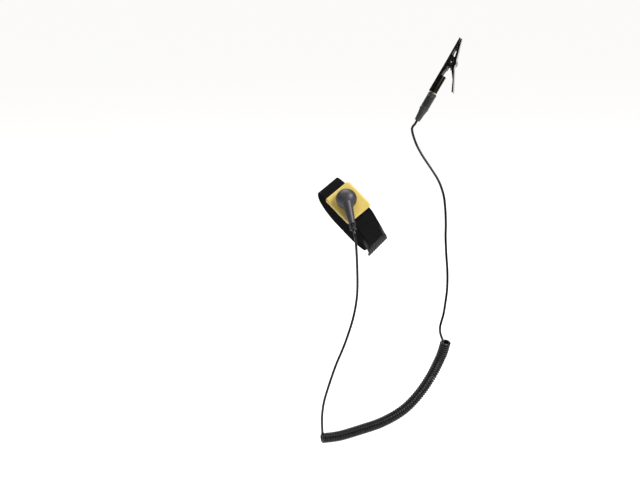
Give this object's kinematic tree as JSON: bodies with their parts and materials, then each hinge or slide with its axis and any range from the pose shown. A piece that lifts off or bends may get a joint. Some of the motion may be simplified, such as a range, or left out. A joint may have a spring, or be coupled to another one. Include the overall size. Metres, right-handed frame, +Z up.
{
  "type": "esd wrist strap",
  "caption": "Elastic anti-static wrist strap with a square yellow snap plate, a swivelling snap head, a curly ground lead and an alligator clip.",
  "frame": {"origin": "centre of the loop that goes round the wrist", "axes": "+Z up as the strap is worn with the forearm raised; the forearm points towards +X, +Y and +Z; the snap plate faces -Y and up"},
  "size_m": [0.1162, 0.0741, 0.3169],
  "materials": {
    "elastic": "knitted black elastic webbing, matte",
    "pile": "black loop pile, very matte",
    "hook_tape": "black moulded hook tape",
    "grey_knit": "grey ribbed conductive knit",
    "yellow_plastic": "moulded, satin",
    "black_plastic": "moulded",
    "charcoal_rubber": "moulded soft PVC, satin",
    "cord_jacket": "glossy soft jacket",
    "steel": "bright stainless",
    "dark_nickel": "dark bright nickel plating",
    "bright_nickel": "bright nickel plating",
    "brass": "plain turned brass",
    "tinned_copper": "tinned copper wire",
    "resistor_enamel": "enamel"
  },
  "bodies": {
    "wristband": {"elastic_band": "elastic", "hook_patch": "hook_tape", "pile_panel": "pile", "tail_hem": "grey_knit", "contact_plate": "steel", "plate_base": "black_plastic", "plate_cover": "yellow_plastic", "stud_rivet": "steel", "snap_stud": "steel"},
    "snap_ring": {"snap_spring": "steel"},
    "lead": {"head_shell": "charcoal_rubber", "snap_socket": "steel", "resistor": "resistor_enamel", "resistor_lead_inner": "tinned_copper", "resistor_lead_outer": "tinned_copper", "wire_ferrule": "brass", "strain_relief": "charcoal_rubber", "cord_upper": "cord_jacket", "cord_coil": "cord_jacket", "cord_lower": "cord_jacket", "plug_body": "black_plastic", "plug_pin": "brass"},
    "plug_cage": {"plug_spring": "brass"},
    "clip": {"clip_jaw_fixed": "dark_nickel", "clip_sleeve": "dark_nickel", "clip_rivet": "bright_nickel", "clip_spring": "steel"},
    "clip_lever": {"clip_jaw_moving": "dark_nickel"}
  },
  "joints": [
    {"name": "snap_pull", "type": "slide", "parent": "wristband", "child": "snap_ring", "axis": [-0.0895, -0.8428, 0.5308], "range_m": [0, 0.02]},
    {"name": "snap_swivel", "type": "hinge", "parent": "snap_ring", "child": "lead", "pos_m": [-0.00508, -0.02026, 0.01652], "axis": [-0.0895, -0.8428, 0.5308], "continuous": true},
    {"name": "plug_turn", "type": "hinge", "parent": "lead", "child": "plug_cage", "pos_m": [0.06479, 0.0152, 0.09744], "axis": [0.5049, 0.1045, 0.8568], "continuous": true},
    {"name": "clip_pull", "type": "slide", "parent": "plug_cage", "child": "clip", "axis": [0.5049, 0.1045, 0.8568], "range_m": [0, 0.02]},
    {"name": "jaw_open", "type": "hinge", "parent": "clip", "child": "clip_lever", "pos_m": [0.0794, 0.0178, 0.1207], "axis": [0.2424, 0.9355, -0.257], "range_deg": [0, 18], "stiffness_Nm_per_rad": 0.06, "springref_deg": -57.3}
  ]
}
